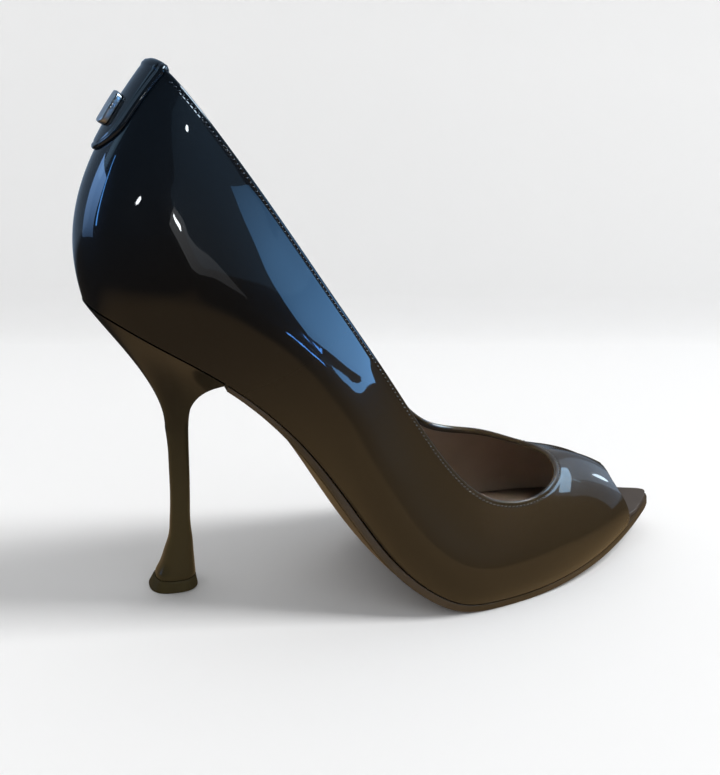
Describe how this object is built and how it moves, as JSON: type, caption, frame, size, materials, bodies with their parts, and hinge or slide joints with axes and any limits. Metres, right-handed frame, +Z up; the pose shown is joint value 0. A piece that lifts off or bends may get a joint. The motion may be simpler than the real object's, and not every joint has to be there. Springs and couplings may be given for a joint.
{
  "type": "peep toe pump",
  "caption": "Right-foot peep toe pump with a slim high heel, a hollow patent upper, a raised tab at the back with a small plain plate, an insole and a thin sole with arch and toe spring.",
  "frame": {"origin": "middle of the heel's tread on the floor", "axes": "+X from the heel toward the toe, +Y toward the inner (medial) side, +Z up; the outer (lateral) side is -Y"},
  "size_m": [0.2287, 0.0828, 0.1769],
  "materials": {
    "patent": "patent gloss, navy black above to olive brown below",
    "insole": "smooth, satin",
    "outsole": "polished edge",
    "heel": "gloss",
    "top_piece": "matt",
    "plate": "dark polished metal"
  },
  "bodies": {
    "root": {"upper": "patent", "insole": "insole", "outsole": "outsole", "heel": "heel", "top_piece": "top_piece", "heel_tab": "patent", "tab_plate": "plate"}
  },
  "joints": []
}
